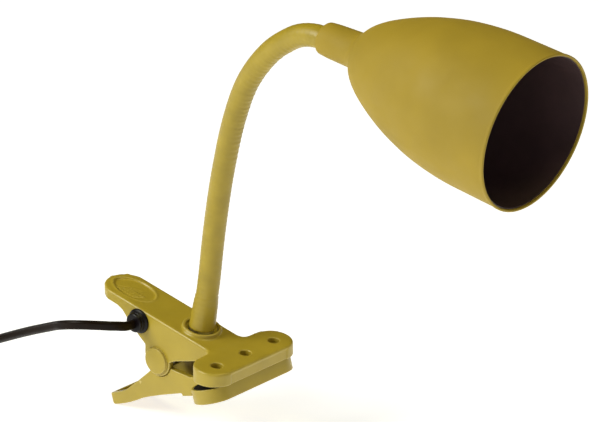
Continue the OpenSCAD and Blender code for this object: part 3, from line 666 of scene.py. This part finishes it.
def pad(node, name, body, lean, into):
    """A grip pad with moulded ridges across its face; lean turns the face level, and into points up through it."""
    c, s = math.cos(math.radians(lean)), math.sin(math.radians(lean))

    def ridge(co):
        x, z = co[:, 0] * c + co[:, 2] * s, -co[:, 0] * s + co[:, 2] * c
        face = z.min() if into > 0 else z.max()
        near = np.clip(1 - np.abs(z - face) / 0.5, 0, 1)
        depth = 0.32 * (0.5 + 0.5 * np.cos(math.tau * x / 2.2)) ** 2
        z = z + into * near * depth
        out = co.copy()
        out[:, 0], out[:, 2] = x * c - z * s, x * s + z * c
        return out

    finish_piece(moulded(node, name, 0.3, 2, 0.6, ridge), body, "grip_rubber", grip_rubber, node)


pad("upper_grip_pad", "upper_pad_rubber", "clip", 0.0, 1)
pad("lower_grip_pad", "lower_pad_rubber", "lower_jaw", JAW_SPREAD, -1)


# The torsion spring twists from its upper leg, which stays, to its lower leg, drawn where the lower jaw holds it when
# the clip is shut

def level_to_shut(x, z):
    """Where a point of the lower jaw, drawn level, comes when the clip is shut."""
    dx, dz, angle = x - PIVOT.x, z - PIVOT.z, math.radians(JAW_SPREAD)
    return (PIVOT.x + dx * math.cos(angle) - dz * math.sin(angle),
            PIVOT.z + dx * math.sin(angle) + dz * math.cos(angle))


def tangent(foot, turn):
    """The angle at which a straight leg from foot meets the coil."""
    dx, dz = foot[0] - PIVOT.x, foot[1] - PIVOT.z
    return math.degrees(math.atan2(dz, dx)) + turn * math.degrees(math.acos(SPRING_D / 2 / math.hypot(dx, dz)))


def leg(foot, y, meet):
    """Points from a leg's foot to where it meets the coil."""
    return [(foot[0] + (meet[0] - foot[0]) * t, y, foot[1] + (meet[2] - foot[1]) * t) for t in np.linspace(0, 1, 13)]


FOOT_X, LOWER_INSIDE = -80.0, -28.5
lever_wall_z = LEVER_WALL / math.cos(math.radians(LEVER_SLOPE))
upper_foot = (FOOT_X, lever_top(FOOT_X) - lever_wall_z - WIRE / 2 - 0.1)
lower_foot = level_to_shut(FOOT_X, LOWER_INSIDE + WIRE / 2 + 0.2)
first, final = tangent(upper_foot, 1), tangent(lower_foot, -1)
total = (final - first) % 360 + 360 * (SPRING_TURNS - 1)
half_y = total / 360 * (WIRE + 0.15) / 2
helix, steps = [], int(total / 7.5)
for k in range(steps + 1):
    t = k / steps
    a = math.radians(first + total * t)
    helix.append((PIVOT.x + SPRING_D / 2 * math.cos(a), half_y * (2 * t - 1), PIVOT.z + SPRING_D / 2 * math.sin(a)))
wire_path = leg(upper_foot, -half_y, helix[0])[:-1] + helix + list(reversed(leg(lower_foot, half_y, helix[-1])))[1:]
spring = sweep("torsion_spring", wire_path, circle(WIRE / 2, 14), (0, 1, 0))
finish_piece(spring, None, "spring_steel", spring_steel, "clip_spring")
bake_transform(spring)

# The gland in the near cheek: a shank, a rounded flange, and a short ribbed sleeve round the lead
at = Matrix.Translation((GLAND[0], -HALF_W, GLAND[1])) @ Matrix.Rotation(math.pi / 2, 4, "X")
profile = [(0, -5), (3.5, -5), (3.5, 0)]
profile += fillet([(3.5, 0), (7.2, 0), (7.2, 1.1), (6.3, 1.7), (5.9, 1.7), (5.8, 2.3)], 0.5, 4)[1:]
profile += fillet([(5.8, 2.3), (5.7, 2.9), (5.3, 3.1), (5.3, 3.5), (5.6, 3.7), (5.45, 4.6), (4.9, 5.0), (0, 5.0)],
                  0.25, 3)[1:]
gland = lathe("gland_flange", profile, at, 72)
finish_piece(gland, "clip", "gland_plastic", gland_plastic, "cord_gland")


# --- The neck ---

CUFF_END, SHOULDER_END = 14.5, 19.4
CUFF_R, CUFF_TOP_R, SLEEVE_R = 7.4, 6.8, 6.2


def sleeve_radius(s):
    """The cuff narrows up from the socket; a soft shoulder and a small step end it."""
    if s < CUFF_END:
        return CUFF_R - (CUFF_R - CUFF_TOP_R) * s / CUFF_END
    if s < SHOULDER_END:
        t = (s - CUFF_END) / (SHOULDER_END - CUFF_END)
        return CUFF_TOP_R - 0.37 * t * t * (3 - 2 * t)
    return SLEEVE_R


def ripple(s, a):
    """Fine rings, with wrinkles where the sleeve is squeezed on the inner side of its bend; a is 0 there."""
    rings = 0.035 * math.sin(s * math.tau / 3.0)
    bend = min(1.0, max(0.0, (s - 96) / 14)) * min(1.0, max(0.0, (NECK_L - 14 - s) / 14))
    side = max(0.0, math.cos(a)) ** 1.5
    fold = math.sin(s * math.tau / 3.1 + 1.4 * math.sin(s / 7.0))
    fold *= 0.6 + 0.4 * math.sin(s * 1.31 + 0.6 * math.sin(a * 3))
    return rings * (1 - 0.5 * bend) + 0.2 * bend * side * fold


# The soft sleeve doesn't lie quite true on its conduit: (distance along the neck, offset to the bend's inside)
DRIFT = [(0, 0.1), (12, 0.35), (24, 0.5), (32, 0.33), (40, -0.06), (48, -0.46), (60, -0.82), (76, -1.0), (88, -0.87),
         (96, -0.6), (104, -0.19), (112, 0.32), (120, 0.82), (128, 0.94), (136, 0.82), (144, 0.33), (152, -0.17),
         (160, -0.38), (176, -0.5), (184, -0.48), (192, 0.1), (200, 0.65), (208, 1.05), (216, 1.15), (224, 0.9)]


def drift(s):
    """The sleeve's offset, evened out over 8 mm."""
    at = [float(np.interp(s + d, [p[0] for p in DRIFT], [p[1] for p in DRIFT])) for d in (-4, -2, 0, 2, 4)]
    return sum(at) / len(at)


SEAMS = [0.0] + [(NECK_JOINTS[k] + NECK_JOINTS[k + 1]) / 2 for k in range(5)] + [NECK_L - 0.4]
SIDES = 64
FERRULE_TOP, FERRULE_BORE, CONDUIT_BORE = 8.2, 5.5, 4.05


def sleeve_length(name, low, high):
    """A closed length of sleeve between two distances along the neck."""
    steps = max(8, int(round((high - low) / 0.6)))
    stations = [low + (high - low) * k / steps for k in range(steps + 1)]
    turns = [math.tau * j / SIDES for j in range(SIDES)]
    verts, faces = [], []
    for s in stations:
        m = on_neck(s)
        for a in turns:
            r = sleeve_radius(s) + ripple(s, a)
            verts.append(m @ Vector((drift(s) + r * math.cos(a), r * math.sin(a), 0)))
    for s in stations:
        m = on_neck(s)
        r = FERRULE_BORE if s < FERRULE_TOP else CONDUIT_BORE
        verts += [m @ Vector((r * math.cos(a), r * math.sin(a), 0)) for a in turns]
    inner, top = (steps + 1) * SIDES, steps * SIDES
    for k in range(steps):
        for j in range(SIDES):
            n, here, above = (j + 1) % SIDES, k * SIDES, (k + 1) * SIDES
            faces.append((here + j, here + n, above + n, above + j))
            faces.append((inner + here + j, inner + above + j, inner + above + n, inner + here + n))
    for j in range(SIDES):
        n = (j + 1) % SIDES
        faces.append((j, inner + j, inner + n, n))
        faces.append((top + j, top + n, inner + top + n, inner + top + j))
    return make(name, verts, faces, sharp=50)


for i, (low, high) in enumerate(zip(SEAMS, SEAMS[1:])):
    piece = sleeve_length("sleeve_length_%d" % i, low, high)
    replaced = ["sleeve_%d" % i] + (["sleeve_6"] if i == 5 else [])
    finish_piece(piece, None, "sleeve_silicone", silicone, *replaced)
    reach = min(NECK_JOINTS[i] - low, high - NECK_JOINTS[i]) - 1.5
    along = (on_neck(NECK_JOINTS[i]).to_3x3() @ Vector((0, 0, 1))) * min(reach, 13.0) * MM
    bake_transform(piece)


# --- The shade ---

COLLAR_L, COLLAR_SHIFT, WALL = 21.5, 1.1, 1.0
bell = through(BELL, 8)


def inset(points, t):
    """A line of (distance along the axis, radius) moved inwards by t."""
    out = []
    for i in range(len(points)):
        d = points[min(i + 1, len(points) - 1)] - points[max(i - 1, 0)]
        out.append(points[i] + t / np.linalg.norm(d) * np.array([d[1], -d[0]]))
    return np.array(out)


collar = fillet([(5.0, 0.0), (COLLAR_R - 1.0, 0.0), (COLLAR_R - 0.35, 7.0), (COLLAR_R, COLLAR_L)], [0, 2.8, 3.0, 0], 8)
outside = collar[:-1] + [(r, u) for u, r in bell if u < SHADE_L - 2.4]
bead = MOUTH_R + 0.25
roll = 0.65
hem = [(MOUTH_R - 0.15, SHADE_L - 2.2), (MOUTH_R - 0.1, SHADE_L - 2.0), (bead - 0.1, SHADE_L - 1.8),
       (bead, SHADE_L - 1.5)]
hem += [(bead - roll + roll * math.cos(a), SHADE_L - roll + roll * math.sin(a)) for a in np.linspace(0, math.pi, 12)]
inner = [(r, u) for u, r in inset(bell, WALL)[:-5]]
bore = fillet([(5.0, WALL), (COLLAR_R - 1.1, WALL), (COLLAR_R - WALL, COLLAR_L)], 0.8, 4)[:-1]
inside = list(reversed(bore + inner))
shell = lathe("shade_bell", outside + hem + inside, SHELL, 160, closed=True, sharp=42,
              shift=lambda h: COLLAR_SHIFT * max(0.0, 1 - h / 22))
finish_piece(shell, "head", "shade_paint", shade_paint, "shade")

lined = np.array([(u, r) for u, r in bell if 24 < u < SHADE_L - 1.2])
skin_out = [(r, u) for u, r in inset(lined, WALL + 0.02)]
skin_in = [(r, u) for u, r in inset(lined, WALL + 0.6)]
skin = lathe("shade_black_inside", skin_out + list(reversed(skin_in)), SHELL, 160, closed=True, sharp=50)
finish_piece(skin, "head", "shade_inside", shade_inside, "shade_liner")

# The lampholder: a domed cap, a ribbed barrel with a ring round it, and the screw contact
cap = [(0, 33)] + fillet([(5, 33), (5, 27), (7, 27), (11.4, 32), (12, 34), (12, 40), (0, 40)], 0.5, 3)
holder = lathe("lampholder_cap_dome", cap, HEAD, 72)
finish_piece(holder, "head", "lampholder_plastic", holder_plastic, "lampholder_cap")
barrel = [(13, 40.2), (13, 43)]
for u in np.arange(44, 56, 1.6):
    barrel += [(13, u), (12.5, u + 0.5), (12.5, u + 0.9), (13, u + 1.3)]
barrel += fillet([(13, 58), (13, 70), (11, 78), (8.6, 78), (8.6, 66), (7.6, 66), (7.6, 43), (0, 43)], 0.5, 3)
body = lathe("lampholder_barrel", [(0, 40.1)] + barrel, HEAD, 72)
finish_piece(body, "head", "lampholder_plastic", holder_plastic, "lampholder_body")
THREAD_R, THREAD_PITCH, THREAD_START = 7.27, 2.82, 45.4
thread = [(7.5, 45)]
for u in np.arange(THREAD_START, 64.2, THREAD_PITCH / 4):
    thread.append((THREAD_R + 0.2 * math.cos(math.tau * (u - THREAD_START) / THREAD_PITCH), u))
thread += [(7.55, 65), (7.75, 65), (7.75, 45)]
contact = lathe("screw_contact", thread, HEAD, 72, closed=True)
finish_piece(contact, "head", "contact_brass", brass, "contact_shell")
ring = fillet([(13.02, 58.5), (15.2, 58.5), (15.2, 61.5), (13.02, 61.5)], [0, 0.5, 0.5, 0], 3)
ring = lathe("lampholder_ring", ring, HEAD, 36, closed=True)
finish_piece(ring, "head", "lampholder_plastic", holder_plastic)


# --- Floor and light ---

FLOOR_HALF = 6000
corners = [(x * FLOOR_HALF, y * FLOOR_HALF, FLOOR_Z - 0.15) for x, y in ((-1, -1), (1, -1), (1, 1), (-1, 1))]
floor = make("floor", corners, [(0, 1, 2, 3)])
pale = bpy.data.materials.new("floor")
pale.use_nodes = True
shader = pale.node_tree.nodes["Principled BSDF"]
shader.inputs["Base Color"].default_value = (0.8, 0.8, 0.8, 1)
shader.inputs["Roughness"].default_value = 0.9
shader.inputs["Specular IOR Level"].default_value = 0.0
shader.inputs["Emission Color"].default_value = (0.98, 1.0, 1.12, 1)
shader.inputs["Emission Strength"].default_value = 0.64
floor.data.materials.append(pale)


def softbox(name, place, target, size, power, colour=(1, 1, 1)):
    light = bpy.data.lights.new(name, "AREA")
    light.shape, light.size, light.size_y = "RECTANGLE", size[0], size[1]
    light.energy, light.color = power, colour
    look_at(link(bpy.data.objects.new(name, light)), place, target)


softbox("key", (-1.10, -1.91, 1.40), (0, 0, 0.1), (1.0, 1.0), 41, (1.0, 1.0, 0.85))
softbox("left", (-1.04, -0.91, 1.25), (0, 0, 0.1), (0.5, 0.7), 5.5)
softbox("mouth", (1.35, -0.35, 0.80), (0.17, 0, 0.17), (0.5, 0.4), 1.6)
softbox("top", (0.35, 0.45, 1.7), (0.0, 0, 0.1), (1.0, 1.0), 11.0, (1.0, 0.93, 0.45))

world = bpy.data.worlds.new("studio")
bpy.context.scene.world = world
world.use_nodes = True
tree = world.node_tree
background = tree.nodes["Background"]
split = tree.nodes.new("ShaderNodeSeparateXYZ")
tree.links.new(tree.nodes.new("ShaderNodeTexCoord").outputs["Generated"], split.inputs["Vector"])
ramp = tree.nodes.new("ShaderNodeValToRGB")
low, high = ramp.color_ramp.elements
low.position, low.color = 0.12, (0.95, 0.95, 0.9, 1)
high.position, high.color = 0.75, (0.40, 0.32, 0.2, 1)
tree.links.new(split.outputs["Z"], ramp.inputs["Fac"])
tree.links.new(ramp.outputs["Color"], background.inputs["Color"])
background.inputs["Strength"].default_value = 0.06
